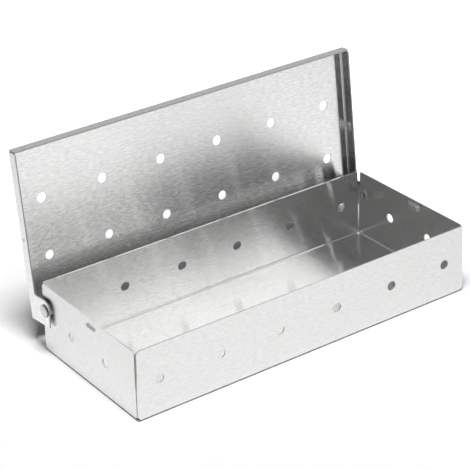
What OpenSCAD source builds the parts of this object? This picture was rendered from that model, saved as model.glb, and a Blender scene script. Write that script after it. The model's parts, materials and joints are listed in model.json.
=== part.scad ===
// Grill smoker box: a tray for wood chips, folded from sheet steel, under a lid that turns on two rivets.
// The origin is the middle of the tray's underside. +X runs along the box, the front faces -Y, +Z is up.

/* [Tray] */
// Outside length of the tray
tray_length = 220; // [160:1:300]
// Outside depth of the tray, front to back
tray_depth = 93.2; // [76:0.2:130]
// Height of the rim above the underside
tray_height = 41.4; // [36:0.2:60]

/* [Sheet] */
// Thickness of the steel sheet
sheet = 0.8; // [0.5:0.05:1.2]
// Inside radius of every fold
bend_radius = 1; // [0.6:0.05:1.6]
// Open seam at a corner, from the inside of one wall to the end of the next
corner_seam = 0.5; // [0.3:0.05:1]
// Radius of the relief hole where two folds meet
relief_radius = 1; // [0.5:0.05:1.4]
// Rounding of the upper corners of the walls
rim_round = 2; // [0.5:0.1:3]

/* [Vents] */
// Diameter of the punched vents
vent_diameter = 5.5; // [4:0.1:8]
// Vents in each long row
vents_per_row = 6; // [3:1:8]
// Distance from the end of the tray to the middle of the first vent
vent_margin = 14.1; // [11:0.1:20]
// Height of the vents in the walls
vent_height = 21.3; // [16:0.1:26]
// Spacing, front to back, of the two rows in the lid and of the two vents in an end wall
row_pitch = 33.5; // [24:0.1:44]

/* [Lid] */
// Depth of the flanges, from the top of the lid to their free edge
flange_depth = 7.6; // [7:0.1:10]
// Rounding of the free corners of the flanges
flange_round = 1.2; // [0.5:0.1:2]
// Overhang of the lid's rear edge behind the tray
rear_overhang = 3; // [1:0.1:6]
// Angle that the lid stands open, from level
open_angle = 95.5; // [0:0.5:125]

/* [Hinge] */
// Distance of the pivot from the outside of the back wall
hinge_inset = 6.3; // [5.5:0.1:9]
// Distance of the pivot below the rim
hinge_drop = 13.8; // [11:0.1:18]
// Reach of an ear in front of the pivot
ear_front = 6.3; // [5.5:0.1:8]
// Reach of an ear below the pivot
ear_drop = 5; // [4.4:0.1:7]
// Rounding of the ear's front corner
ear_round = 4.8; // [3:0.1:5.5]
// Distance of the ear's rear corner below the pivot
ear_heel = 3.1; // [2:0.1:4]
// Fillet where an ear leaves the flange
ear_fillet = 1; // [0.3:0.1:2]
// Diameter of the rivet shank
rivet_diameter = 4; // [3:0.1:4.6]
// Diameter of the rivet head
head_diameter = 7.5; // [6:0.1:9]
// Height of the domed head
head_height = 1.2; // [0.8:0.1:2]
// Thickness of the head at its edge
head_edge = 0.3; // [0.2:0.05:0.5]
// Diameter of the rolled tail
tail_diameter = 5.8; // [5.2:0.1:7]
// Height of the rolled tail
tail_height = 0.8; // [0.5:0.05:1.2]
// Diameter of the hollow in the tail
hollow_diameter = 2.2; // [1.4:0.1:2.4]
// Depth of the hollow
hollow_depth = 2.6; // [1.8:0.1:3]
// Diameter of the spacer washers
spacer_diameter = 6.6; // [5.6:0.1:8]

/* [Dents] */
// Depth of a pressed dent
dent_depth = 0.7; // [0.4:0.05:0.8]
// Height of a dent
dent_height = 3.8; // [3:0.1:4.2]
// Length of the dents in the end walls
wall_dent_length = 10; // [6:0.1:14]
// Length of the dents in the side flanges
lid_dent_length = 6.2; // [5:0.1:12]
// Distance of the wall dents below the rim
wall_dent_drop = 3.8; // [3.2:0.1:6]
// Distance of the wall dents in front of the middle of the wall
wall_dent_shift = 4.5; // [0:0.1:10]

/* [Clearances] */
// Gap between an end wall and the flange beside it
side_gap = 1.2; // [1.2:0.05:2]
// Gap between the back rim and the lid as it swings past
rear_swing_gap = 1.1; // [0.5:0.05:2]
// Gap between the front rim and the front flange as it swings past
front_swing_gap = 0.4; // [0.3:0.05:1]
// Play of an ear along its rivet, on each side
pivot_play = 0.3; // [0.2:0.05:0.5]
// Radial clearance of the rivet shank in its holes
pivot_fit = 0.05; // [0.02:0.01:0.1]
// Land between the top of a flange dent and the fold
dent_land = 0.1; // [0.05:0.05:0.4]

/* [Hidden] */
$fn = 64;

// Height of a cutter that passes right through one sheet
cut_through = 4 * sheet;
bend_outer = bend_radius + sheet;
wall_end = sheet + corner_seam;
tray_fold_end = bend_outer + relief_radius + corner_seam;
lid_fold_end = bend_outer + corner_seam;

pivot_y = tray_depth / 2 - hinge_inset;
pivot_z = tray_height - hinge_drop;
pivot_hole = rivet_diameter + 2 * pivot_fit;

// The lid stands high enough to swing past the back rim, and far enough forward to swing past the front rim
lid_width = tray_length + 2 * (side_gap + sheet);
lid_under = pivot_z + norm([hinge_inset, hinge_drop]) + rear_swing_gap;
lid_top = lid_under + sheet;
flange_edge = lid_top - flange_depth;
flange_swing = norm([tray_depth - hinge_inset, hinge_drop]) + front_swing_gap;
lid_front = pivot_y - sqrt(pow(flange_swing, 2) - pow(flange_edge - pivot_z, 2)) - sheet;
lid_rear = tray_depth / 2 + rear_overhang;
lid_middle = (lid_front + lid_rear) / 2;

spacer_height = side_gap - pivot_play;
head_seat = 2 * sheet + side_gap + pivot_play;

// A dent is a bar with round ends, pressed into the sheet from outside
dent_radius = (pow(dent_height / 2, 2) + pow(dent_depth, 2)) / (2 * dent_depth);
dent_centre = dent_radius - dent_depth;
bump_radius = dent_radius + sheet;
bump_half_height = sqrt(pow(bump_radius, 2) - pow(dent_centre + sheet, 2));
lid_dent_z = lid_top - bend_outer - bump_half_height - dent_land;
wall_dent_z = tray_height - wall_dent_drop;

function vent_x(i) = (tray_length - 2 * vent_margin) * (i / (vents_per_row - 1) - 1 / 2);

// Rectangle from a corner at the origin, with the two corners at its top rounded
module rounded_top(size, r) {
    square([size.x, size.y - r]);
    translate([r, 0])
        square([size.x - 2 * r, size.y]);
    for (x = [r, size.x - r])
        translate([x, size.y - r])
            circle(r);
}

// Cross-section of a fold, with its outer corner at the origin
module fold_section() {
    translate([bend_outer, bend_outer])
        intersection() {
            difference() {
                circle(bend_outer);
                circle(bend_radius);
            }
            translate([-bend_outer, -bend_outer])
                square(bend_outer);
        }
}

// Rectangle from a corner at the origin, with r_top on its upper corners and the relief's radius on its feet
module wall_outline(size, r_top) {
    intersection() {
        rounded_top(size, r_top);
        translate([0, size.y])
            mirror([0, 1])
                rounded_top(size, relief_radius);
    }
}

// Upright sheet with its foot on a fold, facing -Y, between two corners that are span apart.
// The sheet stops end_gap short of each corner, and its fold stops fold_gap short.
module folded_wall(span, height, end_gap, fold_gap, r_top) {
    width = span - 2 * end_gap;
    translate([-width / 2, sheet, bend_outer])
        rotate([90, 0, 0])
            linear_extrude(sheet)
                wall_outline([width, height - bend_outer], r_top);
    rotate([90, 0, 90])
        linear_extrude(span - 2 * fold_gap, center = true)
            fold_section();
}

// Wall of the tray, as long as the side that it stands on
module tray_wall(span) {
    folded_wall(span, tray_height, wall_end, tray_fold_end, rim_round);
}

// Hole along X through both end walls or both ears
module cross_hole(d, y, z) {
    translate([0, y, z])
        rotate([0, 90, 0])
            cylinder(d = d, h = lid_width + cut_through, center = true);
}

// Bar with round ends, lying along Y
module round_bar(r, length) {
    rotate([90, 0, 0])
        rotate_extrude()
            intersection() {
                union() {
                    translate([0, -length / 2])
                        square([r, length]);
                    for (y = [-length / 2, length / 2])
                        translate([0, y])
                            circle(r);
                }
                translate([0, -length / 2 - r])
                    square([r, length + 2 * r]);
            }
}

// Space that a dent presses out of a sheet whose outer face is the plane X = 0, facing -X
module dent_recess(length) {
    translate([-dent_centre, 0, 0])
        round_bar(dent_radius, length - dent_height);
}

// Metal that the dent pushes through to the other side of that sheet
module dent_bump(length) {
    intersection() {
        translate([-dent_centre, 0, 0])
            round_bar(bump_radius, length - dent_height);
        translate([sheet / 2, -length, -length])
            cube([bump_radius, 2 * length, 2 * length]);
    }
}

// The same shape on the left and on the right
module both_sides() {
    children();
    mirror([1, 0, 0])
        children();
}

// Places a shape made for the plane X = 0 on the outside of an end wall
module at_wall_dent() {
    both_sides()
        translate([-tray_length / 2, -wall_dent_shift, wall_dent_z])
            children();
}

// Places a shape made for the plane X = 0 on the outside of a side flange
module at_lid_dent() {
    both_sides()
        translate([-lid_width / 2, lid_middle, lid_dent_z])
            children();
}

// One blank: floor and four walls, open at the corner seams
module base_tray() {
    color([0.78, 0.78, 0.77])
        difference() {
            union() {
                translate([bend_outer - tray_length / 2, bend_outer - tray_depth / 2, 0])
                    cube([tray_length - 2 * bend_outer, tray_depth - 2 * bend_outer, sheet]);
                for (turn = [0, 180])
                    rotate([0, 0, turn])
                        translate([0, -tray_depth / 2, 0])
                            tray_wall(tray_length);
                for (turn = [90, 270])
                    rotate([0, 0, turn])
                        translate([0, -tray_length / 2, 0])
                            tray_wall(tray_depth);
                at_wall_dent()
                    dent_bump(wall_dent_length);
            }
            for (x = [-1, 1], y = [-1, 1])
                translate([x * (tray_length / 2 - bend_outer), y * (tray_depth / 2 - bend_outer), 0])
                    cylinder(r = relief_radius, h = cut_through, center = true);
            for (i = [0 : vents_per_row - 1])
                translate([vent_x(i), 0, vent_height])
                    rotate([90, 0, 0])
                        cylinder(d = vent_diameter, h = tray_depth + cut_through, center = true);
            for (y = [-row_pitch / 2, row_pitch / 2])
                cross_hole(vent_diameter, y, vent_height);
            cross_hole(pivot_hole, pivot_y, pivot_z);
            at_wall_dent()
                dent_recess(wall_dent_length);
        }
}

// Outline of an ear about the pivot at the origin, seen from the right, with its top on the flange
module ear_outline() {
    top = lid_top - bend_outer - pivot_z;
    rear = lid_rear - pivot_y;
    centre = [ear_round - ear_front, ear_round - ear_drop];
    heel = [rear, -ear_heel];
    away = centre - heel;
    slope = atan2(away.y, away.x) + asin(ear_round / norm(away));
    reach = sqrt(pow(norm(away), 2) - pow(ear_round, 2));
    sole = heel + reach * [cos(slope), sin(slope)];
    translate(centre)
        circle(ear_round);
    polygon([heel, [rear, top], [-ear_front, top], [-ear_front, centre.y], centre, sole]);
    translate([-ear_front - ear_fillet, flange_edge - pivot_z - ear_fillet])
        difference() {
            square(ear_fillet);
            circle(ear_fillet);
        }
}

// Side flange with its ear, as a flat outline in the plane of the pivot
module side_flange_outline() {
    length = lid_rear - lid_front - wall_end;
    tall = flange_depth - bend_outer;
    translate([lid_front + wall_end, lid_top - bend_outer])
        mirror([0, 1])
            intersection() {
                wall_outline([2 * length, tall], flange_round);
                square([length, tall]);
            }
    translate([pivot_y, pivot_z])
        ear_outline();
}

// Left side flange on its fold
module side_flange() {
    translate([-lid_width / 2, 0, 0])
        rotate([90, 0, 90])
            linear_extrude(sheet)
                side_flange_outline();
    translate([-lid_width / 2, lid_rear, lid_top])
        mirror([0, 0, 1])
            rotate([90, 0, 0])
                linear_extrude(lid_rear - lid_front - lid_fold_end)
                    fold_section();
}

// The lid as it lies level over the tray
module level_lid() {
    difference() {
        union() {
            translate([bend_outer - lid_width / 2, lid_front + bend_outer, lid_under])
                cube([lid_width - 2 * bend_outer, lid_rear - lid_front - bend_outer, sheet]);
            translate([0, lid_front, lid_top])
                mirror([0, 0, 1])
                    folded_wall(lid_width, flange_depth, 0, lid_fold_end, flange_round);
            both_sides()
                side_flange();
            at_lid_dent()
                dent_bump(lid_dent_length);
        }
        for (i = [0 : vents_per_row - 1], y = [-row_pitch / 2, row_pitch / 2])
            translate([vent_x(i), lid_middle + y, lid_top])
                cylinder(d = vent_diameter, h = cut_through, center = true);
        cross_hole(pivot_hole, pivot_y, pivot_z);
        at_lid_dent()
            dent_recess(lid_dent_length);
    }
}

// One blank: panel, front flange and two side flanges that run on into ears, turned open about the pivot
module lid() {
    color([0.8, 0.8, 0.79])
        translate([0, pivot_y, pivot_z])
            rotate([-open_angle, 0, 0])
                translate([0, -pivot_y, -pivot_z])
                    level_lid();
}

// Half section of a rivet: radius along X, and height outward from the inside of the wall along Y
module rivet_section() {
    head_radius = head_diameter / 2;
    dome = head_height - head_edge;
    dome_radius = (pow(head_radius, 2) + pow(dome, 2)) / (2 * dome);
    lip = tail_height / 2;
    difference() {
        union() {
            translate([0, -tail_height])
                square([rivet_diameter / 2, tail_height + head_seat + head_edge]);
            translate([0, head_seat])
                square([head_radius, head_edge]);
            intersection() {
                translate([0, head_seat + head_height - dome_radius])
                    circle(dome_radius);
                translate([0, head_seat + head_edge])
                    square([head_radius, dome]);
            }
            translate([0, -tail_height])
                square([tail_diameter / 2 - lip, tail_height]);
            translate([tail_diameter / 2 - lip, -lip])
                circle(lip);
        }
        translate([0, -tail_height])
            square([hollow_diameter / 2, hollow_depth]);
        polygon([
            [0, -tail_height],
            [hollow_diameter / 2 + lip, -tail_height],
            [hollow_diameter / 2, -lip],
            [0, -lip]
        ]);
    }
}

// Places a turned shape on the left pivot, with its height outward from the inside of the wall
module at_left_pivot() {
    translate([sheet - tray_length / 2, pivot_y, pivot_z])
        rotate([0, -90, 0])
            children();
}

// Semi-tubular rivet in the left end wall
module left_rivet() {
    color([0.72, 0.72, 0.71])
        at_left_pivot()
            rotate_extrude()
                rivet_section();
}

// Semi-tubular rivet in the right end wall
module right_rivet() {
    mirror([1, 0, 0])
        left_rivet();
}

// Washer between the left end wall and its ear
module left_spacer() {
    color([0.62, 0.62, 0.61])
        at_left_pivot()
            translate([0, 0, sheet])
                rotate_extrude()
                    translate([pivot_hole / 2, 0])
                        square([(spacer_diameter - pivot_hole) / 2, spacer_height]);
}

// Washer between the right end wall and its ear
module right_spacer() {
    mirror([1, 0, 0])
        left_spacer();
}

base_tray();
lid();
left_rivet();
right_rivet();
left_spacer();
right_spacer();
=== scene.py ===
# %% [markdown]
# # A smoker box folded from brushed steel
# The box is two sheets of steel, a tray and a lid, that were punched flat, pressed and folded.
# This script goes the same way: it draws each blank flat, punches its holes, folds its sides up and
# gives it thickness.
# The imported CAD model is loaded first, as a fixed frame that says where everything goes.

# %% Load the frame
import json
import math

import bmesh
import bpy
from mathutils import Matrix, Vector


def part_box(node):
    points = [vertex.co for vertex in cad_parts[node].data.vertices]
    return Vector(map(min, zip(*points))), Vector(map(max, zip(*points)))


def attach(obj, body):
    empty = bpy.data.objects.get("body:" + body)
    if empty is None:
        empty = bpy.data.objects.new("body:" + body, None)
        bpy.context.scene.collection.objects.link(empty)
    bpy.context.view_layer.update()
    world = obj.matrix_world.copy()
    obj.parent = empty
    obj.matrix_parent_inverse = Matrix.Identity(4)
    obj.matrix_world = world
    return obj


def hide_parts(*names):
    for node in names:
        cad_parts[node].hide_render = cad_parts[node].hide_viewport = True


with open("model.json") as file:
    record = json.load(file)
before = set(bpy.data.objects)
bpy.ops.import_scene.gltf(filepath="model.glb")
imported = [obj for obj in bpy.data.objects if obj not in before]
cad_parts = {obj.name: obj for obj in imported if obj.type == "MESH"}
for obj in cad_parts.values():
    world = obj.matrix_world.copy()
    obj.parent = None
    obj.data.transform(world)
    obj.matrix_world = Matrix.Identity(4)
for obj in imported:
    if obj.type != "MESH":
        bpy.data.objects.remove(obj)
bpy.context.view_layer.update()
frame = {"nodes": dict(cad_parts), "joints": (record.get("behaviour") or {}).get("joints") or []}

print("nodes:", sorted(frame["nodes"]))

# %% [markdown]
# The camera stands in front of the box, to its left and above it, as for the photograph.
# A place, a point to look at and a small roll say all of that in the plain words of a studio.
# The lens is long, because the far edges of the box are nearly as large in the picture as the near
# ones.

# %% Camera
MM = 0.001
CAMERA_PLACE = Vector((-518.6, -728.6, 518.0)) * MM
CAMERA_TARGET = Vector((3.1, 24.4, 42.1)) * MM
CAMERA_ROLL = math.radians(-2.09)
LENS_MM = 141.5

scene = bpy.context.scene


def put(name, data):
    """A new object in the scene."""
    thing = bpy.data.objects.new(name, data)
    scene.collection.objects.link(thing)
    return thing


camera = put("camera", bpy.data.cameras.new("camera"))
scene.camera = camera
camera.data.lens = LENS_MM
camera.location = CAMERA_PLACE
aim = (CAMERA_TARGET - CAMERA_PLACE).to_track_quat("-Z", "Y").to_matrix()
camera.rotation_euler = (aim @ Matrix.Rotation(CAMERA_ROLL, 3, "Z")).to_euler()
scene.view_settings.view_transform = "Standard"
print("camera is", round((CAMERA_TARGET - CAMERA_PLACE).length, 3), "m from the box")

# %% [markdown]
# Materials and Geometry Nodes are both trees of nodes, so one helper adds a node to either.
# It takes the node's inputs by name or number, and links those that come from another node.
# The other helpers do a step of arithmetic or mix two values, which nearly every tree needs.

# %% Helpers for nodes
def add(tree, kind, inputs=None, **settings):
    """Adds a node, sets what it is told, and links or fills its inputs."""
    node = tree.nodes.new(kind)
    for name, value in settings.items():
        setattr(node, name, value)
    for key, value in (inputs or {}).items():
        if isinstance(value, bpy.types.Node):
            value = value.outputs[0]
        if isinstance(value, bpy.types.NodeSocket):
            tree.links.new(value, node.inputs[key])
        else:
            node.inputs[key].default_value = value
    return node


def calc(tree, operation, *values):
    """Adds one step of arithmetic."""
    return add(tree, "ShaderNodeMath", dict(enumerate(values)), operation=operation)


def calc_vector(tree, operation, *values):
    """Adds one step of arithmetic with vectors."""
    return add(tree, "ShaderNodeVectorMath", dict(enumerate(values)), operation=operation)


def mix(tree, share, value, rest):
    """A share of one value, and for the rest another."""
    inputs = {"Factor": share, "A": rest, "B": value}
    return add(tree, "ShaderNodeMix", inputs, data_type="FLOAT").outputs["Result"]


# %% [markdown]
# Polished metal shows its surroundings, so the surroundings are part of its look.
# They could be built as walls and lamps. Here they are painted on the world, which is quicker to
# change and casts no shadows.
# Cycles says of each ray where it comes from. The camera sees plain white behind the box, and the
# metal shows it the studio. Rays that light the paper see neither, so reflections never light it.

# %% What a ray sees
def is_seen(tree):
    """1 for rays that the camera sees, straight on or mirrored, and 0 for rays that light paper."""
    path = add(tree, "ShaderNodeLightPath").outputs
    mirrored = calc(tree, "MAXIMUM", path["Is Glossy Ray"], path["Is Transmission Ray"])
    shown = calc(tree, "MAXIMUM", path["Is Camera Ray"], mirrored)
    not_from_paper = calc(tree, "LESS_THAN", path["Diffuse Depth"], 1)
    return path, calc(tree, "MULTIPLY", shown, not_from_paper)


world = bpy.data.worlds.new("white_room")
scene.world = world
world.use_nodes = True
room = world.node_tree
room.nodes.clear()
room_path, room_seen = is_seen(room)
towards = add(room, "ShaderNodeTexCoord").outputs["Generated"]
direction = add(room, "ShaderNodeSeparateXYZ", {0: towards}).outputs
print("the world tells rays apart with", len(room.nodes), "nodes")

# %% [markdown]
# A part of the room is a range of directions, with a soft edge as real things have when they are
# mirrored in brushed metal. The room could also be a picture wrapped round the scene, but a few
# rules with numbers are easier to move and to dim.

# %% Directions in the room
def facing(place):
    """How far a direction points towards a place: 1 straight at it, 0 across, below 0 away."""
    return calc_vector(room, "DOT_PRODUCT", towards, place).outputs["Value"]


def turning(value, edge):
    """Rises softly from 0 to 1 between two values of a direction."""
    ends = {"Value": value, "From Min": edge[0], "From Max": edge[1]}
    rising = add(room, "ShaderNodeMapRange", ends, interpolation_type="SMOOTHSTEP")
    return rising.outputs["Result"]


# %% [markdown]
# The studio is white, and dimmer on its left and at the back. The camera's stand is a dark upright
# shape in it, and a softbox glows low down at the front right.
# Where two walls and the floor of the tray meet, light goes back the way it came, so that corner
# shows the camera's stand and looks dark, while most other faces show white.
# The tray mirrors the softbox twice and shows it in full. A face that mirrors it only once shows it
# dimmer, so that no face turns plain white.

# %% White room
WHITE = (1, 1, 1, 1)
ROOM_LIGHT = 0.9
AMBIENT_LIGHT = 0.08
DARK_SIDE_LIGHT = 0.5
DARK_LEFT_EDGE = (-0.15, -0.45)
DARK_FRONT_EDGE = (0.9, 0.5)
BACK_LIGHT = 0.5
BACK_EDGE = (0.2, 0.6)
STAND_LIGHT = 0.03
STAND_EDGE = (0.2, 0.08)
SOFTBOX_TOWARDS = Vector((0.61, -0.85, 0.27)).normalized()
SOFTBOX_EDGE = (0.9, 0.97)
SOFTBOX_LIGHT = 2.2
SOFTBOX_MIRRORED_ONCE = 1.1

leftward = turning(direction["X"], DARK_LEFT_EDGE)
left_side = calc(room, "MULTIPLY", leftward, turning(direction["Y"], DARK_FRONT_EDGE))
to_camera = (CAMERA_PLACE - CAMERA_TARGET).to_2d().normalized()
sideways = calc(room, "ABSOLUTE", facing((to_camera.y, -to_camera.x, 0)))
in_front = calc(room, "GREATER_THAN", facing((*to_camera, 0)), 0)
stand = calc(room, "MULTIPLY", turning(sideways, STAND_EDGE), in_front)
mirrored_twice = calc(room, "GREATER_THAN", room_path["Glossy Depth"], 1)
softbox = mix(room, mirrored_twice, SOFTBOX_LIGHT, SOFTBOX_MIRRORED_ONCE)

walls = mix(room, turning(direction["Y"], BACK_EDGE), BACK_LIGHT, ROOM_LIGHT)
walls = mix(room, left_side, DARK_SIDE_LIGHT, walls)
walls = mix(room, stand, STAND_LIGHT, walls)
walls = mix(room, turning(facing(SOFTBOX_TOWARDS), SOFTBOX_EDGE), softbox, walls)
white_to_camera = calc(room, "MAXIMUM", walls, room_path["Is Camera Ray"])
level = mix(room, room_seen, white_to_camera, AMBIENT_LIGHT)
background = add(room, "ShaderNodeBackground", {"Color": WHITE, "Strength": level})
add(room, "ShaderNodeOutputWorld", {"Surface": background})
print("the room is", ROOM_LIGHT, "bright, its left side", DARK_SIDE_LIGHT)
print("the softbox is", SOFTBOX_LIGHT, "bright, or", SOFTBOX_MIRRORED_ONCE, "mirrored once")

# %% [markdown]
# One soft lamp hangs above the box, a little in front of it and to its left. It lights the paper
# and other dull things, and the shadow falls behind the open lid, where the camera hardly sees it.
# The lamp stays out of reflections, because the studio that the metal shows is the world itself.

# %% Overhead lamp
LAMP_PLACE = Vector((-0.2, -0.34, 1.35))
LAMP_SIZE = 0.45
LAMP_POWER = 22.6

lamp = put("overhead_lamp", bpy.data.lights.new("overhead_lamp", "AREA"))
lamp.data.shape = "SQUARE"
lamp.data.size = LAMP_SIZE
lamp.data.energy = LAMP_POWER
lamp.location = LAMP_PLACE
lamp.rotation_euler = (CAMERA_TARGET - LAMP_PLACE).to_track_quat("-Z", "Y").to_euler()
lamp.visible_glossy = False
print("the lamp hangs", round(LAMP_PLACE.z, 2), "m up and gives", LAMP_POWER, "W")

# %% [markdown]
# The paper under the box is slightly grey as a colour. A catalogue photograph is exposed until its
# paper turns white, so a wash of light that only the camera sees lies on it. More lamps would turn
# it white too, but then the steel would lose its greys.
# The wash starts beside the box and grows with the distance, so the shadow at the foot of the box
# stays.

# %% White paper
PAPER_COLOUR = (0.88, 0.88, 0.88, 1)
PAPER_GLOW = 0.01
WASH_LIGHT = 0.8
WASH_MIDDLE = (0.006, 0, 0)
WASH_CLEAR = (0.119, 0.13, 0)
WASH_WIDTH = (0.03, 0.08, 1)


def new_material(name):
    """A material and its empty tree."""
    material = bpy.data.materials.new(name)
    material.use_nodes = True
    material.node_tree.nodes.clear()
    return material, material.node_tree


paper_white, paper = new_material("paper_white")
paper_path, paper_seen = is_seen(paper)
paper_spot = add(paper, "ShaderNodeTexCoord").outputs["Object"]
from_middle = calc_vector(paper, "SUBTRACT", paper_spot, WASH_MIDDLE)
beyond = calc_vector(paper, "SUBTRACT", calc_vector(paper, "ABSOLUTE", from_middle), WASH_CLEAR)
outside = calc_vector(paper, "MAXIMUM", beyond, (0, 0, 0))
shares = calc_vector(paper, "DIVIDE", outside, WASH_WIDTH)
away = calc_vector(paper, "LENGTH", shares).outputs["Value"]
wash_ends = {"Value": away, "To Min": 0, "To Max": WASH_LIGHT}
wash = add(paper, "ShaderNodeMapRange", wash_ends, interpolation_type="SMOOTHSTEP")
washed = calc(paper, "MULTIPLY", wash, paper_path["Is Camera Ray"])
strength = calc(paper, "ADD", calc(paper, "MULTIPLY", paper_seen, PAPER_GLOW), washed)
glow = add(paper, "ShaderNodeEmission", {"Color": WHITE, "Strength": strength})
fibres = add(paper, "ShaderNodeBsdfDiffuse", {"Color": PAPER_COLOUR})
surface = add(paper, "ShaderNodeAddShader", {0: fibres, 1: glow})
add(paper, "ShaderNodeOutputMaterial", {"Surface": surface})
print("the paper's material has", len(paper.nodes), "nodes")

# %% [markdown]
# The paper is one flat sheet. It ends close in front of the box on the camera's side, because more
# of it would show white in the tray's dark corner. The camera can't tell where it ends, as the
# world behind it is white too.

# %% Sheet of paper
PAPER_FAR = 0.9
PAPER_NEAR = 0.19
PAPER_DROP = 0.1 * MM

paper_outline = [
    (PAPER_FAR, PAPER_FAR),
    (-PAPER_FAR, PAPER_FAR),
    (-PAPER_FAR, PAPER_FAR / 2),
    (-PAPER_NEAR, 0),
    (0, -PAPER_NEAR),
    (PAPER_FAR / 2, -PAPER_FAR),
    (PAPER_FAR, -PAPER_FAR),
]
paper_points = [(x, y, -PAPER_DROP) for x, y in paper_outline]
paper_mesh = bpy.data.meshes.new("paper")
paper_mesh.from_pydata(paper_points, [], [range(len(paper_points))])
paper_mesh.materials.append(paper_white)
paper_sheet = put("paper", paper_mesh)
print("the paper reaches", PAPER_FAR, "m to the back and", PAPER_NEAR, "m to the front left")

# %% [markdown]
# Both blanks are cut from one kind of sheet.
# Its thickness, its fold and its punched vents are named once, in metres, and what the frame knows
# is read from it.
# On the outside of a fold the sheet turns a quarter circle, and that arc takes up length in the
# flat blank.

# %% Sizes of the sheet
SHEET = 0.8 * MM
FOLD_OUTER = 1.8 * MM
FOLD_ARC = FOLD_OUTER * math.pi / 2
FOLD_STEPS = 12
CORNER_SEAM = 0.5 * MM
WALL_END = SHEET + CORNER_SEAM
VENT_RADIUS = 2.75 * MM
VENT_MARGIN = 14.1 * MM
VENTS_PER_ROW = 6
ROW_PITCH = 33.5 * MM
PIVOT_HOLE_RADIUS = 2.05 * MM

tray_low, tray_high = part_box("base_tray")
TRAY_LENGTH, TRAY_DEPTH, TRAY_HEIGHT = tray_high - tray_low
PIVOT = Vector(frame["joints"][0]["pos_m"])
vent_span = TRAY_LENGTH - 2 * VENT_MARGIN
vent_places = [vent_span * (i / (VENTS_PER_ROW - 1) - 0.5) for i in range(VENTS_PER_ROW)]
print("tray is", [round(v / MM, 1) for v in (TRAY_LENGTH, TRAY_DEPTH, TRAY_HEIGHT)], "mm")
print("a fold takes up", round(FOLD_ARC / MM, 2), "mm of the blank")

# %% [markdown]
# A blank starts as a drawing: closed outlines, and a mark wherever a hole is punched.
# A panel is drawn by its corners, each with a radius. A positive radius rounds the corner, and a
# negative one bites a relief hole out of it, as on the real blank, where two folds would tear the
# sheet if their corner stayed whole.
# A drawing could be made with curves and a mouse, but a list of corners keeps every size in one
# place.

# %% Drawing a blank
ARC_STEPS = 8
SAME_PLACE = SHEET / 100


def new_drawing():
    """An empty flat drawing, whose loose points can carry the radius of a hole to punch."""
    drawing = bmesh.new()
    drawing.verts.layers.float.new("punch")
    return drawing


def corner_points(before, corner, after, radius):
    """The points that replace one corner of an outline."""
    to_before = (before - corner).normalized()
    to_after = (after - corner).normalized()
    if radius == 0:
        return [corner]
    if radius < 0:
        start, middle = corner - to_before * radius, corner
        end = corner - to_after * radius
    else:
        half_angle = to_before.angle(to_after) / 2
        tangent = radius / math.tan(half_angle)
        start, end = corner + to_before * tangent, corner + to_after * tangent
        middle = corner + (to_before + to_after).normalized() * radius / math.sin(half_angle)
    turn = (start - middle).angle_signed(end - middle)
    steps = [Matrix.Rotation(-turn * i / ARC_STEPS, 2) for i in range(ARC_STEPS + 1)]
    return [middle + step @ (start - middle) for step in steps]


def draw_outline(drawing, corners):
    """Draws a closed outline through (x, y, radius) corners."""
    spots = [Vector(c[:2]) for c in corners]
    points = []
    for i, (_, _, radius) in enumerate(corners):
        after = spots[(i + 1) % len(spots)]
        for point in corner_points(spots[i - 1], spots[i], after, radius):
            if not points or (point - points[-1]).length > SAME_PLACE:
                points.append(point)
    verts = [drawing.verts.new((*p, 0)) for p in points]
    for a, b in zip(verts, verts[1:] + verts[:1]):
        drawing.edges.new((a, b))


def mark_hole(drawing, x, y, radius):
    """Marks the middle of a round hole."""
    mark = drawing.verts.new((x, y, 0))
    mark[drawing.verts.layers.float["punch"]] = radius


# %% [markdown]
# Each side that folds up has its own directions: u runs along the fold, and h is the height above
# the outer face of the floor once the side stands up. In the flat blank that height lies further
# out, by the length of the fold's arc.

# %% Sides of a blank
def sides_of(low, high):
    """For each side of a floor between two corners, a function from (u, h) to the flat blank."""

    def out(h):
        return h - FOLD_OUTER + FOLD_ARC

    return {
        "front": lambda u, h: (u, low.y - out(h)),
        "back": lambda u, h: (u, high.y + out(h)),
        "left": lambda u, h: (low.x - out(h), u),
        "right": lambda u, h: (high.x + out(h), u),
    }


# %% [markdown]
# A fold can't run right into a corner, or the sheet would tear where two folds meet. So a small
# relief hole is cut out of the corner of the floor. Each strip that bends starts at the edge of
# that hole and widens to the full wall above it.
# The strip is drawn in narrow faces, because a single face can't bend.

# %% Drawing a fold
def draw_fold(drawing, side, start, end):
    """Draws a strip to be bent. Each end runs smoothly from a place on the floor to the wall's."""
    rows = []
    for i in range(FOLD_STEPS + 1):
        share = i / FOLD_STEPS
        height = FOLD_ARC * share - FOLD_ARC + FOLD_OUTER
        ease = share * share * (3 - 2 * share)
        ends = [at_floor + (at_wall - at_floor) * ease for at_floor, at_wall in (start, end)]
        rows.append([drawing.verts.new((*side(u, height), 0)) for u in ends])
    for (a, b), (c, d) in zip(rows, rows[1:]):
        drawing.faces.new((a, b, d, c))


# %% [markdown]
# A small long dent is pressed into each end wall, and one into each side flange of the lid.
# It is made of rings that sink from a short soft edge into a steep trough, deeper in the walls than
# in the flanges.
# A bump in the material would not change the outline or the mesh, so the dent is real geometry.

# %% Pressing a dent
DENT_HEIGHT = 3.8 * MM
DENT_HALF = 2.2 * MM
DENT_STEEPEST = 0.75
DENT_SHARPNESS = 1.25
DENT_RINGS = 12
DENT_ARC_STEPS = 12


def dent_sunk(share):
    """How deep a dent is at a share of the way from its middle to its edge."""
    soft = 1 - DENT_STEEPEST
    slope = DENT_STEEPEST / DENT_SHARPNESS
    edge = 1 / (soft * (soft + 2 * slope))
    if share > DENT_STEEPEST:
        return edge * (1 - share) ** 2
    return 1 - 2 * edge * soft * slope * (share / DENT_STEEPEST) ** DENT_SHARPNESS


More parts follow.
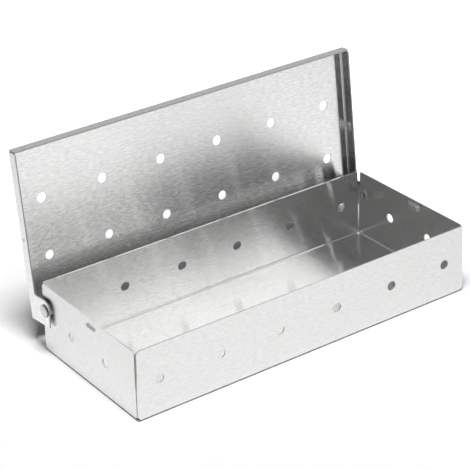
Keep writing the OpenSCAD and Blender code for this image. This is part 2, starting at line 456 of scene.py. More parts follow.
def draw_dent(drawing, side, u, h, length, depth):
    """Draws a dent with round ends, and the outline that keeps its place free in the panel."""
    run = length - DENT_HEIGHT
    angles = [math.pi * i / DENT_ARC_STEPS for i in range(DENT_ARC_STEPS + 1)]
    near_end = [(-math.sin(a), math.cos(a), -run / 2) for a in angles]
    far_end = [(math.sin(a), -math.cos(a), run / 2) for a in angles]
    rings = []
    for k in range(DENT_RINGS):
        share = 1 - k / DENT_RINGS
        reach, sunk = share * DENT_HALF, depth * dent_sunk(share)
        spots = [(u + end + du * reach, h + dh * reach) for du, dh, end in near_end + far_end]
        rings.append([drawing.verts.new((*side(*spot), sunk)) for spot in spots])
    for outer, inner in zip(rings, rings[1:]):
        for i in range(len(outer)):
            drawing.faces.new((outer[i - 1], outer[i], inner[i], inner[i - 1]))
    drawing.faces.new(rings[-1])
    draw_outline(drawing, [(*v.co.xy, 0) for v in rings[0]])


print("halfway to its edge a dent is", round(dent_sunk(0.5), 2), "of its depth")

# %% [markdown]
# Geometry Nodes describes a shape by steps that can run again, with inputs that have names, as a
# press has settings. The same tree makes both sheets, and another one sets the rivets later.

# %% An empty press
def new_tree(name, inputs):
    """A Geometry Nodes tree with named inputs, and what comes in through them."""
    tree = bpy.data.node_groups.new(name, "GeometryNodeTree")
    for in_out in ("OUTPUT", "INPUT"):
        tree.interface.new_socket("Geometry", in_out=in_out, socket_type="NodeSocketGeometry")
    for label, kind in inputs.items():
        tree.interface.new_socket(label, in_out="INPUT", socket_type=kind)
    return tree, add(tree, "NodeGroupInput").outputs


sheet_inputs = {
    "Low corner": "NodeSocketVector",
    "High corner": "NodeSocketVector",
    "Fold radius": "NodeSocketFloat",
    "Steel": "NodeSocketMaterial",
}
press, blank_in = new_tree("punch_and_fold", sheet_inputs)
print("the press has the inputs", list(sheet_inputs))

# %% [markdown]
# The first half of the tree is the punch. It turns the outlines into curves, puts a circle on every
# mark, and fills what lies between them, so the holes are left open. The strips and dents are then
# welded to the panels. Cutting each hole with a Boolean would be slower and could leave torn edges.
# Before anything is bent, the flat place of every point is kept in a UV map named blank: it shows
# where the rolling direction of the steel runs, so the brushed grain will follow the folds.

# %% The punching half of the tree
HOLE_STEPS = 48
WELD = 0.005 * MM


def join(tree, *parts):
    """Joins outputs of several nodes into one geometry."""
    joined = add(tree, "GeometryNodeJoinGeometry")
    for part in parts:
        tree.links.new(part, joined.inputs[0])
    return joined


drawn = blank_in["Geometry"]
neighbours = add(press, "GeometryNodeInputMeshEdgeNeighbors")
loose = add(press, "FunctionNodeCompare", {2: neighbours, 3: 0}, data_type="INT", operation="EQUAL")
outlines = add(press, "GeometryNodeMeshToCurve", {"Mesh": drawn, "Selection": loose})
punch = add(press, "GeometryNodeInputNamedAttribute", {"Name": "punch"}, data_type="FLOAT")
hole_radius = punch.outputs["Attribute"]
is_mark = calc(press, "GREATER_THAN", hole_radius, 0)
circle = add(press, "GeometryNodeCurvePrimitiveCircle", {"Resolution": HOLE_STEPS, "Radius": 1})
punched = {"Points": drawn, "Selection": is_mark, "Instance": circle, "Scale": hole_radius}
holes = add(press, "GeometryNodeInstanceOnPoints", punched)
hole_curves = add(press, "GeometryNodeRealizeInstances", {"Geometry": holes})
lines = join(press, outlines.outputs[0], hole_curves.outputs[0])
panels = add(press, "GeometryNodeFillCurve", {"Curve": lines}, mode="NGONS")
pressed = add(press, "GeometryNodeSeparateGeometry", {"Geometry": drawn}, domain="FACE")
pieces = join(press, panels.outputs[0], pressed.outputs["Selection"])
flat = add(press, "GeometryNodeMergeByDistance", {"Geometry": pieces, "Distance": WELD})
spot = add(press, "GeometryNodeInputPosition")
kept = {"Geometry": flat, "Name": "blank", "Value": spot}
mapped = add(press, "GeometryNodeStoreNamedAttribute", kept, data_type="FLOAT2", domain="CORNER")
print("the punching half has", len(press.nodes), "nodes")

# %% [markdown]
# The second half of the tree is the press brake. For each point it asks how far it lies past the
# fold line. Up to the length of the arc the point goes round the bend, and after that straight up.
# A wall could also be turned up by hand, face by face, but the rule keeps the sheet's length true,
# as bending does.

# %% How far round the bend
xyz = add(press, "ShaderNodeSeparateXYZ", {0: spot}).outputs
low_edge = add(press, "ShaderNodeSeparateXYZ", {0: blank_in["Low corner"]}).outputs
high_edge = add(press, "ShaderNodeSeparateXYZ", {0: blank_in["High corner"]}).outputs
fold_radius = blank_in["Fold radius"]


def past_edge(axis):
    """How far a point lies outside the floor along X or Y."""
    below = calc(press, "SUBTRACT", low_edge[axis], xyz[axis])
    above = calc(press, "SUBTRACT", xyz[axis], high_edge[axis])
    return calc(press, "MAXIMUM", below, above)


past_x, past_y = past_edge("X"), past_edge("Y")
past = calc(press, "MAXIMUM", calc(press, "MAXIMUM", past_x, past_y), 0)
turned = calc(press, "MINIMUM", calc(press, "DIVIDE", past, fold_radius), math.pi / 2)
straight = calc(press, "SUBTRACT", past, calc(press, "MULTIPLY", fold_radius, turned))
reach = calc(press, "SUBTRACT", fold_radius, xyz["Z"])
outward = calc(press, "MULTIPLY", reach, calc(press, "SINE", turned))
shift = calc(press, "SUBTRACT", outward, past)
drop = calc(press, "MULTIPLY", reach, calc(press, "COSINE", turned))
rise = calc(press, "ADD", calc(press, "SUBTRACT", reach, drop), straight)
print("the bend takes the tree to", len(press.nodes), "nodes")

# %% [markdown]
# A point on an end wall moves along X, and one on a long wall along Y. The side that it lies past
# is the one that folds it, so no point folds twice.
# The tree ends as every tree here does: shaded smooth, made real and given its steel.

# %% The folding half of the tree
def along(axis, chosen):
    """The shift along one axis, for the points on the sides that face that way."""
    towards_side = calc(press, "MULTIPLY", calc(press, "SIGN", xyz[axis]), chosen)
    return calc(press, "MULTIPLY", towards_side, shift)


def finish_tree(tree, geometry, steel):
    """Ends a tree: smooth shading, real geometry in place of instances, and the material."""
    smooth = add(tree, "GeometryNodeSetShadeSmooth", {"Geometry": geometry})
    whole = add(tree, "GeometryNodeRealizeInstances", {"Geometry": smooth})
    painted = add(tree, "GeometryNodeSetMaterial", {"Geometry": whole, "Material": steel})
    add(tree, "NodeGroupOutput", {0: painted})


on_end = calc(press, "GREATER_THAN", past_x, past_y)
on_length = calc(press, "SUBTRACT", 1, on_end)
moved = {"X": along("X", on_end), "Y": along("Y", on_length), "Z": rise}
move = add(press, "ShaderNodeCombineXYZ", moved)
folded = add(press, "GeometryNodeSetPosition", {"Geometry": mapped, "Offset": move})
finish_tree(press, folded, blank_in["Steel"])
print("the whole tree has", len(press.nodes), "nodes")

# %% [markdown]
# A tree is run by a modifier on an object, here called a maker. Its result is turned into a plain
# mesh, because an exported model keeps no modifiers.
# The mesh itself is moved to its place, so the finished object stays at the origin, unturned.

# %% From a maker to a plain mesh
def set_inputs(modifier, values):
    """Sets a tree's inputs by the identifier of each socket."""
    for item in modifier.node_group.interface.items_tree:
        if item.item_type == "SOCKET" and item.in_out == "INPUT" and item.name in values:
            modifier[item.identifier] = values[item.name]


def plain_mesh(maker, name, place=Matrix()):
    """A plain mesh object from a maker's modifiers, put in its place. The maker goes away."""
    maker.modifiers.new("even_shading", "WEIGHTED_NORMAL").keep_sharp = True
    evaluated = maker.evaluated_get(bpy.context.evaluated_depsgraph_get())
    mesh = bpy.data.meshes.new_from_object(evaluated)
    mesh.transform(place)
    mesh.name = name
    bpy.data.objects.remove(maker)
    print(name, "has", len(mesh.polygons), "faces")
    return put(name, mesh)


# %% [markdown]
# The press gives the outer skin of a sheet. Solidify grows it inwards to its thickness, and a very
# small Bevel breaks the cut edges, so that they catch the light as deburred edges do.
# Cut edges get a finish of their own. They are the faces that have hardly any area in the flat
# blank, which the UV map knows, so no face has to be picked by hand.

# %% From a drawing to a sheet
EDGE_BREAK = 0.05 * MM
EDGE_ANGLE = math.radians(50)
EDGE_STEPS = 2
CUT_SHARE = 0.3


def thicken(maker):
    """Grows a skin inwards to the thickness of the sheet and breaks its cut edges."""
    thickness = maker.modifiers.new("thickness", "SOLIDIFY")
    thickness.thickness = SHEET
    thickness.offset = 1
    thickness.use_even_offset = True
    deburr = maker.modifiers.new("deburr", "BEVEL")
    deburr.width = EDGE_BREAK
    deburr.segments = EDGE_STEPS
    deburr.limit_method = "ANGLE"
    deburr.angle_limit = EDGE_ANGLE
    deburr.use_clamp_overlap = False


def finish_cut_edges(mesh, steel, cut):
    """Gives the cut edges their own finish."""
    mesh.materials.clear()
    mesh.materials.append(steel)
    mesh.materials.append(cut)
    flat_places = mesh.uv_layers["blank"].uv
    for face in mesh.polygons:
        spots = [flat_places[i].vector for i in face.loop_indices]
        flat_area = abs(sum(a.cross(b) for a, b in zip(spots, spots[1:] + spots[:1]))) / 2
        face.material_index = int(flat_area < CUT_SHARE * face.area)


def make_sheet(name, drawing, low, high, steel, cut, place=Matrix()):
    """Punches, folds and thickens a drawing, and puts the sheet in its place."""
    for face in drawing.faces:
        face.normal_update()
        if face.normal.z < 0:
            face.normal_flip()
    flat_mesh = bpy.data.meshes.new(name + "_drawing")
    drawing.to_mesh(flat_mesh)
    drawing.free()
    maker = put(name + "_maker", flat_mesh)
    fold = maker.modifiers.new("fold", "NODES")
    fold.node_group = press
    corners = {"Low corner": low, "High corner": high}
    set_inputs(fold, {**corners, "Fold radius": FOLD_OUTER, "Steel": steel})
    thicken(maker)
    sheet = plain_mesh(maker, name, place)
    finish_cut_edges(sheet.data, steel, cut)
    return sheet


# %% [markdown]
# Every steel here starts from noise, whose usual range is stretched to the range of a tint or of a
# roughness. A plain colour would look like plastic, because real steel is never quite even.

# %% Helpers for steel
USUAL_NOISE = (0.3, 0.7)


def spread_over(tree, value, usual, wanted):
    """Maps the usual range of a value to a wanted range."""
    ends = {"From Min": usual[0], "From Max": usual[1], "To Min": wanted[0], "To Max": wanted[1]}
    return add(tree, "ShaderNodeMapRange", {"Value": value, **ends}).outputs["Result"]


def end_in_metal(tree, colour, tint, inputs):
    """Ends a material in metal of one colour, made darker and lighter by a tint."""
    shade = add(tree, "ShaderNodeVectorMath", {0: colour, "Scale": tint}, operation="SCALE")
    metal = add(tree, "ShaderNodeBsdfPrincipled", {"Base Color": shade, **inputs})
    add(tree, "ShaderNodeOutputMaterial", {"Surface": metal})


# %% [markdown]
# Brushed steel is metal whose surface was drawn through a belt, which leaves fine scratches along
# the sheet. Across the scratches the light spreads widely, and along them it stays sharp. The
# shader calls this anisotropy.
# Noise that is stretched along the blank gives single scratches, and broad soft noise gives the
# clouds of handling. The scratches tint the colour, because a relief as fine as they are is lost in
# a small picture.

# %% Brushed steel
GRAIN_TURN = 0.25
FINE_GRAIN = (290, 1200)
LONG_GRAIN = (60, 2600)
CLOUDS = (22, 34)
FINE_SHARE = 0.65
SCRATCH_SHARE = 0.7
USUAL_SCRATCH = (0.35, 0.65)
BRUSHED_ROUGHNESS = (0.15, 0.2)
SCRATCH_STRENGTH = 0.15
SCRATCH_DEPTH = 0.05 * MM


def brushed_steel(name, colour, contrast, seed):
    """Steel with a grain along U of the blank, and scratches darker or lighter by contrast."""
    steel, tree = new_material(name)
    blank = add(tree, "ShaderNodeUVMap", uv_map="blank")

    def stretched(scale, detail):
        """Noise with one scale along the grain and one across it."""
        laid = {"Vector": blank, "Location": (seed, seed, 0), "Scale": (*scale, 1)}
        noise = {"Vector": add(tree, "ShaderNodeMapping", laid), "Scale": 1, "Detail": detail}
        return add(tree, "ShaderNodeTexNoise", noise).outputs["Fac"]

    lines = stretched(LONG_GRAIN, detail=3)
    scratch = mix(tree, FINE_SHARE, stretched(FINE_GRAIN, detail=2), lines)
    marks = mix(tree, SCRATCH_SHARE, scratch, stretched(CLOUDS, detail=2))
    tint = spread_over(tree, scratch, USUAL_SCRATCH, (1 - contrast, 1 + contrast))
    relief = {"Height": lines, "Strength": SCRATCH_STRENGTH, "Distance": SCRATCH_DEPTH}
    inputs = {
        "Metallic": 1,
        "Roughness": spread_over(tree, marks, USUAL_NOISE, BRUSHED_ROUGHNESS),
        "Anisotropic": 1,
        "Anisotropic Rotation": GRAIN_TURN,
        "Normal": add(tree, "ShaderNodeBump", relief),
        "Tangent": add(tree, "ShaderNodeTangent", direction_type="UV_MAP", uv_map="blank"),
    }
    end_in_metal(tree, colour, tint, inputs)
    return steel


tray_steel = brushed_steel("tray_brushed_steel", (0.76, 0.76, 0.755), contrast=0.09, seed=3)
lid_steel = brushed_steel("lid_brushed_steel", (0.86, 0.86, 0.855), contrast=0.14, seed=11)
print("brushed steel has", len(tray_steel.node_tree.nodes), "nodes")

# %% [markdown]
# Where the shear and the punch went through the sheet, the steel is torn and has no grain.
# From a little way off such an edge is a thin line beside the bright faces: pale on the tray, and a
# darker, half matte grey on the lid. So each sheet gets a second material for its edges.

# %% Cut edges
PIT_TINT = (0.85, 1.1)
PIT_STRENGTH = 0.3
PIT_DEPTH = 0.02 * MM
CUT_PITS_PER_M = 2500


def dull_steel(name, colour, metallic, roughness, pits_per_m):
    """Steel without a grain: fine noise over its colour, its roughness and its surface."""
    steel, tree = new_material(name)
    place = add(tree, "ShaderNodeTexCoord").outputs["Object"]
    noise = {"Vector": place, "Scale": pits_per_m, "Detail": 3}
    pits = add(tree, "ShaderNodeTexNoise", noise).outputs["Fac"]
    relief = {"Height": pits, "Strength": PIT_STRENGTH, "Distance": PIT_DEPTH}
    inputs = {
        "Metallic": metallic,
        "Roughness": spread_over(tree, pits, USUAL_NOISE, roughness),
        "Normal": add(tree, "ShaderNodeBump", relief),
    }
    end_in_metal(tree, colour, spread_over(tree, pits, USUAL_NOISE, PIT_TINT), inputs)
    return steel


tray_cut_steel = dull_steel(
    "tray_cut_edge_steel",
    (0.74, 0.74, 0.735),
    metallic=1,
    roughness=(0.14, 0.22),
    pits_per_m=CUT_PITS_PER_M,
)
lid_cut_steel = dull_steel(
    "lid_cut_edge_steel",
    (0.45, 0.45, 0.445),
    metallic=0.4,
    roughness=(0.5, 0.65),
    pits_per_m=CUT_PITS_PER_M,
)
print("cut edge steel has", len(lid_cut_steel.node_tree.nodes), "nodes")

# %% [markdown]
# The front wall of the tray covers the ends of the side walls, and the back wall stands between
# them. No end is cut quite square: each leans a little. So the seams at the back widen towards the
# rim and let light through, and those at the front close towards it.
# Each end of a wall is given by how far it is cut back, at the foot and at the rim, and how far its
# rim corner is rounded.

# %% Ends of the tray's walls
FRONT_ROUND = 2.0 * MM
REAR_ROUND = 0.6 * MM

front_end = (0.05 * MM, 0.9 * MM, FRONT_ROUND)
back_end = (1.1 * MM, 1.55 * MM, REAR_ROUND)
side_front_end = (1.6 * MM, 0.85 * MM, FRONT_ROUND)
side_back_end = (0.5 * MM, 2.1 * MM, REAR_ROUND)
wall_ends = {
    "front": (front_end, front_end),
    "back": (back_end, back_end),
    "left": (side_front_end, side_back_end),
    "right": (side_front_end, side_back_end),
}
side_lean = side_back_end[1] - side_back_end[0]
print("at the back the ends of the side walls lean by", round(side_lean / MM, 2), "mm")

# %% [markdown]
# The tray is one blank in the shape of a cross: a floor with four walls round it.
# Each wall is drawn in the same way, as a panel and a strip to be bent. The long walls have a row
# of vents, and the end walls have two vents, a hole for the rivet and a dent.

# %% The tray
RELIEF_RADIUS = 1.0 * MM
FOOT_BITE = 0.7 * MM
VENT_HEIGHT = 21.3 * MM
WALL_DENT_LENGTH = 10.0 * MM
WALL_DENT_DEPTH = 1.2 * MM
WALL_DENT_HEIGHT = 37.6 * MM
WALL_DENT_SHIFT = 4.5 * MM

tray_blank = new_drawing()
floor_x, floor_y = TRAY_LENGTH / 2 - FOLD_OUTER, TRAY_DEPTH / 2 - FOLD_OUTER
floor_high = Vector((floor_x, floor_y, 0))
tray_sides = sides_of(-floor_high, floor_high)
floor_corners = [(-floor_x, -floor_y), (floor_x, -floor_y), (floor_x, floor_y), (-floor_x, floor_y)]
draw_outline(tray_blank, [(x, y, -RELIEF_RADIUS) for x, y in floor_corners])
for name, side in tray_sides.items():
    is_long = name in ("front", "back")
    half = (TRAY_LENGTH if is_long else TRAY_DEPTH) / 2
    (foot_a, rim_a, round_a), (foot_b, rim_b, round_b) = wall_ends[name]
    wall = [
        (rim_a - half, TRAY_HEIGHT, round_a),
        (foot_a - half, FOLD_OUTER, -FOOT_BITE),
        (half - foot_b, FOLD_OUTER, -FOOT_BITE),
        (half - rim_b, TRAY_HEIGHT, round_b),
    ]
    draw_outline(tray_blank, [(*side(u, h), r) for u, h, r in wall])
    strip = half - FOLD_OUTER - RELIEF_RADIUS
    bent_a = (-strip, foot_a + FOOT_BITE - half)
    bent_b = (strip, half - foot_b - FOOT_BITE)
    draw_fold(tray_blank, side, bent_a, bent_b)
    for u in vent_places if is_long else (-ROW_PITCH / 2, ROW_PITCH / 2):
        mark_hole(tray_blank, *side(u, VENT_HEIGHT), VENT_RADIUS)
    if not is_long:
        dent_size = (WALL_DENT_LENGTH, WALL_DENT_DEPTH)
        mark_hole(tray_blank, *side(PIVOT.y, PIVOT.z), PIVOT_HOLE_RADIUS)
        draw_dent(tray_blank, side, -WALL_DENT_SHIFT, WALL_DENT_HEIGHT, *dent_size)
tray_sheet = make_sheet(
    "tray_sheet", tray_blank, -floor_high, floor_high, tray_steel, tray_cut_steel
)

# %% [markdown]
# The lid has to swing past both rims of the tray. Its height follows from the back rim, which its
# rear part passes over, and its front edge from the arc that the flange takes round the front wall.
# So these sizes are worked out from the hinge, as its designer would, and not measured one by one.

# %% Where the lid goes
FLANGE_DEPTH = 7.6 * MM
REAR_OVERHANG = 3.0 * MM
REAR_SWING_GAP = 1.1 * MM
FRONT_SWING_GAP = 0.4 * MM

lid_half = (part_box("lid")[1].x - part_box("lid")[0].x) / 2
hinge_inset, hinge_drop = TRAY_DEPTH / 2 - PIVOT.y, TRAY_HEIGHT - PIVOT.z
lid_top = PIVOT.z + math.hypot(hinge_inset, hinge_drop) + REAR_SWING_GAP + SHEET
flange_swing = math.hypot(TRAY_DEPTH - hinge_inset, hinge_drop) + FRONT_SWING_GAP
flange_rise = lid_top - FLANGE_DEPTH - PIVOT.z
lid_front = PIVOT.y - math.sqrt(flange_swing**2 - flange_rise**2) - SHEET
lid_rear = TRAY_DEPTH / 2 + REAR_OVERHANG
lid_middle = (lid_front + lid_rear) / 2
print("lid runs from", round(lid_front / MM, 2), "to", round(lid_rear / MM, 2), "mm")
print("its top is", round(lid_top / MM, 2), "mm up when shut")

# %% [markdown]
# The lid is a second blank, with a flange in front and one on each side. Its back edge isn't
# folded, so the fold line there is put out of reach.

# %% Panel and front flange of the lid
FLANGE_ROUND = 1.2 * MM
LID_RELIEF = 0.6 * MM
OUT_OF_REACH = 1.0

lid_blank = new_drawing()
panel_low = Vector((FOLD_OUTER - lid_half, lid_front + FOLD_OUTER, 0))
panel_high = Vector((lid_half - FOLD_OUTER, OUT_OF_REACH, 0))
lid_sides = sides_of(panel_low, panel_high)
panel_x, panel_y = panel_high.x, panel_low.y
panel = [
    (-panel_x, panel_y, -LID_RELIEF),
    (panel_x, panel_y, -LID_RELIEF),
    (panel_x, lid_rear, 0),
    (-panel_x, lid_rear, 0),
]
draw_outline(lid_blank, panel)
front = lid_sides["front"]
front_flange = [
    (-lid_half, FLANGE_DEPTH, FLANGE_ROUND),
    (-lid_half, FOLD_OUTER, 0),
    (lid_half, FOLD_OUTER, 0),
    (lid_half, FLANGE_DEPTH, FLANGE_ROUND),
]
draw_outline(lid_blank, [(*front(u, h), r) for u, h, r in front_flange])
draw_fold(lid_blank, front, (LID_RELIEF - panel_x, -lid_half), (panel_x - LID_RELIEF, lid_half))
for u in vent_places:
    for row in (-ROW_PITCH / 2, ROW_PITCH / 2):
        mark_hole(lid_blank, u, lid_middle + row, VENT_RADIUS)
print("the lid has", 2 * len(vent_places), "vents")

# %% [markdown]
# The side flanges run on into ears at the back, and the rivets go through the ears.
# An ear is a rounded tab about the pivot. Its sole is a straight line from the heel that just
# touches the round nose, so the nose is drawn as one rounded corner where that line meets the front
# of the ear.

# %% Ears and side flanges
EAR_FRONT = 6.3 * MM
EAR_DROP = 5.0 * MM
EAR_ROUND = 4.8 * MM
EAR_HEEL = 3.1 * MM
EAR_FILLET = 1.0 * MM
LID_DENT_LENGTH = 6.2 * MM
LID_DENT_DEPTH = 0.7 * MM
LID_DENT_BELOW = 4.07 * MM

pivot_below = lid_top - PIVOT.z
nose = Vector((EAR_ROUND - EAR_FRONT, EAR_ROUND - EAR_DROP))
heel = Vector((lid_rear - PIVOT.y, -EAR_HEEL))
to_nose = nose - heel
sole_slope = math.atan2(to_nose.y, to_nose.x) + math.asin(EAR_ROUND / to_nose.length)
sole_meets_front = heel.y - (heel.x + EAR_FRONT) * math.tan(sole_slope)
flange_front = lid_front + WALL_END
ear_front = PIVOT.y - EAR_FRONT
for name in ("left", "right"):
    side = lid_sides[name]
    corners = [
        (flange_front, FLANGE_DEPTH, FLANGE_ROUND),
        (flange_front, FOLD_OUTER, 0),
        (lid_rear, FOLD_OUTER, 0),
        (lid_rear, pivot_below - heel.y, 0),
        (ear_front, pivot_below - sole_meets_front, EAR_ROUND),
        (ear_front, FLANGE_DEPTH, EAR_FILLET),
    ]
    draw_outline(lid_blank, [(*side(u, h), r) for u, h, r in corners])
    draw_fold(lid_blank, side, (panel_y + LID_RELIEF, flange_front), (lid_rear, lid_rear))
    mark_hole(lid_blank, *side(PIVOT.y, pivot_below), PIVOT_HOLE_RADIUS)
    draw_dent(lid_blank, side, lid_middle, LID_DENT_BELOW, LID_DENT_LENGTH, LID_DENT_DEPTH)
print("the sole of the ear leans by", round(100 * abs(math.tan(sole_slope)), 1), "in a hundred")

# %% [markdown]
# The blank is folded lying on its outer face. Then it is turned over and swung open about the
# hinge, as far as it stands open in the photograph. Drawing it flat and turning it at the end is
# easier than drawing a tilted lid.

# %% The lid
OPEN_ANGLE = math.radians(95.5)

turn_over = Matrix.Translation((0, 0, lid_top)) @ Matrix.Rotation(math.pi, 4, "Y")
swing = Matrix.Rotation(-OPEN_ANGLE, 4, "X")
swing_open = Matrix.Translation(PIVOT) @ swing @ Matrix.Translation(-PIVOT)
lid_place = swing_open @ turn_over
lid_sheet = make_sheet(
    "lid_sheet", lid_blank, panel_low, panel_high, lid_steel, lid_cut_steel, lid_place
)

# %% [markdown]
# A rivet and a washer are round about one line, so each is drawn as half of its section and turned
# about that line, as on a lathe.

# %% Turning a section
TURN_STEPS = 48


def section_points(corners, is_ring):
    """Points along a section of (radius, height, rounding) corners."""
    spots = [Vector(c[:2]) for c in corners]
    points = []
    for i, (_, _, rounding) in enumerate(corners):
        is_end = not is_ring and i in (0, len(corners) - 1)
        after = spots[(i + 1) % len(spots)]
        rounded = corner_points(spots[i - 1], spots[i], after, rounding)
        points += [spots[i]] if is_end else rounded
    return points


def turned_shape(name, points, is_ring):
    """A closed shape turned from a section about Z."""
    lathe = bmesh.new()
    verts = [lathe.verts.new((p.x, 0, p.y)) for p in points]
    pairs = zip(verts, verts[1:] + verts[:1]) if is_ring else zip(verts, verts[1:])
    section = verts + [lathe.edges.new(pair) for pair in pairs]
    bmesh.ops.spin(lathe, geom=section, axis=(0, 0, 1), angle=2 * math.pi, steps=TURN_STEPS)
    bmesh.ops.remove_doubles(lathe, verts=lathe.verts, dist=WELD / 2)
    bmesh.ops.recalc_face_normals(lathe, faces=lathe.faces)
    mesh = bpy.data.meshes.new(name)
    lathe.to_mesh(mesh)
    lathe.free()
    print(name, "has", len(mesh.polygons), "faces")
    return put(name, mesh)


# %% [markdown]
# The rivet is a semi-tubular one: a low dome outside the ear, and a hollow tail that was rolled
# over inside the wall. Its dome is part of a ball, whose size follows from the head's width and
# rise. Heights are measured outward from the inside of the end wall.

# %% Section of the rivet
DOME_STEPS = 10
SHANK_RADIUS = 2.0 * MM
HEAD_RADIUS = 3.75 * MM
HEAD_SEAT = 3.1 * MM
HEAD_EDGE = 0.3 * MM
HEAD_HEIGHT = 1.2 * MM
TAIL_RADIUS = 2.9 * MM
TAIL_HEIGHT = 0.8 * MM
HOLLOW_RADIUS = 1.1 * MM
HOLLOW_DEPTH = 2.6 * MM
SMALL_BREAK = 0.08 * MM

dome = HEAD_HEIGHT - HEAD_EDGE
dome_radius = (HEAD_RADIUS**2 + dome**2) / (2 * dome)
dome_middle = HEAD_SEAT + HEAD_HEIGHT - dome_radius
dome_turn = math.asin(HEAD_RADIUS / dome_radius)
rivet_corners = [
    (0, HOLLOW_DEPTH - TAIL_HEIGHT, 0),
    (HOLLOW_RADIUS, HOLLOW_DEPTH - TAIL_HEIGHT, SMALL_BREAK),
    (HOLLOW_RADIUS, -TAIL_HEIGHT / 2, SMALL_BREAK),
    (HOLLOW_RADIUS + TAIL_HEIGHT / 2, -TAIL_HEIGHT, SMALL_BREAK),
    (TAIL_RADIUS, -TAIL_HEIGHT, TAIL_HEIGHT / 2),
    (TAIL_RADIUS, 0, TAIL_HEIGHT / 2),
    (SHANK_RADIUS, 0, SMALL_BREAK),
    (SHANK_RADIUS, HEAD_SEAT, SMALL_BREAK),
    (HEAD_RADIUS, HEAD_SEAT, SMALL_BREAK),
    (HEAD_RADIUS, HEAD_SEAT + HEAD_EDGE, SMALL_BREAK),
    (0, HEAD_SEAT + HEAD_EDGE, 0),
]
rivet_section = section_points(rivet_corners, is_ring=False)[:-1]
for i in range(1, DOME_STEPS + 1):
    angle = dome_turn * (1 - i / DOME_STEPS)
    across, up = dome_radius * math.sin(angle), dome_radius * math.cos(angle)
    rivet_section.append(Vector((across, dome_middle + up)))
rivet_shape = turned_shape("rivet_shape", rivet_section, is_ring=False)

# %% [markdown]
# The washer keeps the ear clear of the wall, so that the lid turns without scraping it. It is a
# flat ring on the outside of the wall, with broken edges.

# %% Section of the washer
SPACER_RADIUS = 3.3 * MM
SPACER_HEIGHT = 0.9 * MM

spacer_corners = [
    (PIVOT_HOLE_RADIUS, SHEET, SMALL_BREAK),
    (SPACER_RADIUS, SHEET, SMALL_BREAK),
    (SPACER_RADIUS, SHEET + SPACER_HEIGHT, SMALL_BREAK),
    (PIVOT_HOLE_RADIUS, SHEET + SPACER_HEIGHT, SMALL_BREAK),
]
spacer_section = section_points(spacer_corners, is_ring=True)
spacer_shape = turned_shape("spacer_shape", spacer_section, is_ring=True)

# %% [markdown]
# The same rivet and the same washer sit at both ends of the box, facing outward. A Geometry Nodes
# tree sets a copy on each mark and turns it to face the way that the mark says, so a box with more
# rivets would only need more marks.

# %% A tree that sets the hardware
hardware_inputs = {"Shape": "NodeSocketObject", "Steel": "NodeSocketMaterial"}
setter, marks_in = new_tree("set_hardware", hardware_inputs)
outward_way = {"Name": "outward"}
way = add(setter, "GeometryNodeInputNamedAttribute", outward_way, data_type="FLOAT_VECTOR")
turn_out = add(setter, "FunctionNodeAlignRotationToVector", {"Vector": way}, axis="Z")
shape = add(setter, "GeometryNodeObjectInfo", {"Object": marks_in["Shape"]}).outputs["Geometry"]
copied = {"Points": marks_in["Geometry"], "Instance": shape, "Rotation": turn_out}
finish_tree(setter, add(setter, "GeometryNodeInstanceOnPoints", copied), marks_in["Steel"])
print("the setting tree has", len(setter.nodes), "nodes")

# %% [markdown]
# A mark is a single point with the way outward as an attribute. There is one at each end of the
# hinge line, on the inside of the end wall.

# %% Setting the hardware
def set_hardware(name, shape, steel):
    """Sets a copy of a shape at both ends of the hinge, and removes the shape."""
    ends = (-1, 1)
    wall_inside = TRAY_LENGTH / 2 - SHEET
    marks = bpy.data.meshes.new(name + "_marks")
    marks.from_pydata([(end * wall_inside, PIVOT.y, PIVOT.z) for end in ends], [], [])
    ways = marks.attributes.new("outward", "FLOAT_VECTOR", "POINT")
    for mark, end in zip(ways.data, ends):
        mark.vector = (end, 0, 0)
    maker = put(name + "_maker", marks)
    copies = maker.modifiers.new("copies", "NODES")
    copies.node_group = setter
    set_inputs(copies, {"Shape": shape, "Steel": steel})
    piece = plain_mesh(maker, name)
    bpy.data.objects.remove(shape)
    return piece


# %% [markdown]
# The head of a rivet is pressed by a die, which leaves it smooth, with faint rings about its
# middle. Near its edge the colour is darkened: painted shade for the shadow that rings the head.
# The rings and the painted shade follow the distance from the hinge line, and a Mapping node
# moves the middle of the pattern there.

# %% Rivet steel
# painted shade: from this radius out to the edge of the head the colour darkens, standing for its
# shadow
RIM_SHADE_FROM = 2.9 * MM
RIM_PAINTED_SHADE = (1, 0.6)
RINGS_PER_M = 4000
SPECKS_PER_M = 900
RING_SHARE = 0.5
HEAD_TINT = (0.9, 1.05)
HEAD_ROUGHNESS = (0.2, 0.34)
HEAD_STRENGTH = 0.15
HEAD_RELIEF = 0.02 * MM


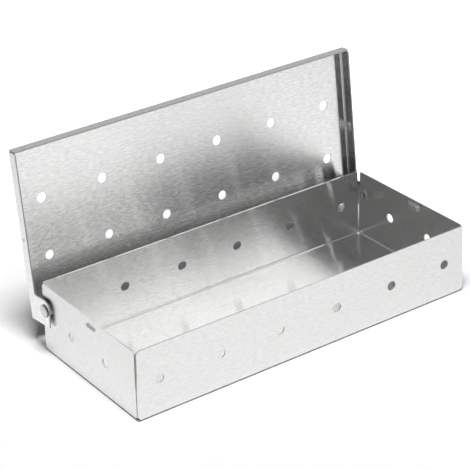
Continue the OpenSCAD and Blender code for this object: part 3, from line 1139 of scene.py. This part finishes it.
def die_pressed_steel(name, colour):
    """Smooth steel with faint rings about the hinge line, with painted shade near the edge of the
    head.
    """
    steel, tree = new_material(name)
    place = add(tree, "ShaderNodeTexCoord").outputs["Object"]
    to_hinge = {"Vector": place, "Location": (0, -PIVOT.y, -PIVOT.z)}
    across = calc_vector(tree, "MULTIPLY", add(tree, "ShaderNodeMapping", to_hinge), (0, 1, 1))
    distance = calc_vector(tree, "LENGTH", across).outputs["Value"]
    ringed = {"W": distance, "Scale": RINGS_PER_M, "Detail": 2}
    rings = add(tree, "ShaderNodeTexNoise", ringed, noise_dimensions="1D").outputs["Fac"]
    specked = {"Vector": place, "Scale": SPECKS_PER_M, "Detail": 3}
    specks = add(tree, "ShaderNodeTexNoise", specked).outputs["Fac"]
    marks = mix(tree, RING_SHARE, rings, specks)
    # painted shade round the edge of the head, where the shadow of the gap falls
    rim = spread_over(tree, distance, (RIM_SHADE_FROM, HEAD_RADIUS), RIM_PAINTED_SHADE)
    tint = calc(tree, "MULTIPLY", spread_over(tree, marks, USUAL_NOISE, HEAD_TINT), rim)
    relief = {"Height": marks, "Strength": HEAD_STRENGTH, "Distance": HEAD_RELIEF}
    inputs = {
        "Metallic": 1,
        "Roughness": spread_over(tree, marks, USUAL_NOISE, HEAD_ROUGHNESS),
        "Normal": add(tree, "ShaderNodeBump", relief),
    }
    end_in_metal(tree, colour, tint, inputs)
    return steel


rivet_steel = die_pressed_steel("rivet_steel", (0.66, 0.66, 0.655))
print("rivet steel has", len(rivet_steel.node_tree.nodes), "nodes")

# %% [markdown]
# The washers are punched from plain sheet, so they take the dull steel of the cut edges with
# coarser pits. They hardly show between the walls and the ears, but they are what holds the ears
# off.

# %% Rivets and spacers
SPACER_PITS_PER_M = 1200

spacer_steel = dull_steel(
    "spacer_steel",
    (0.62, 0.62, 0.61),
    metallic=1,
    roughness=(0.3, 0.45),
    pits_per_m=SPACER_PITS_PER_M,
)
hinge_rivets = set_hardware("hinge_rivets", rivet_shape, rivet_steel)
hinge_spacers = set_hardware("hinge_spacers", spacer_shape, spacer_steel)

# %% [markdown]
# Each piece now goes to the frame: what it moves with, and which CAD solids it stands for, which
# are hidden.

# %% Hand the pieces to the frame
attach(tray_sheet, "tray")
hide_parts("base_tray")
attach(lid_sheet, "lid")
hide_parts("lid")
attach(hinge_rivets, "tray")
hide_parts("left_rivet", "right_rivet")
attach(hinge_spacers, "tray")
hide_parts("left_spacer", "right_spacer")
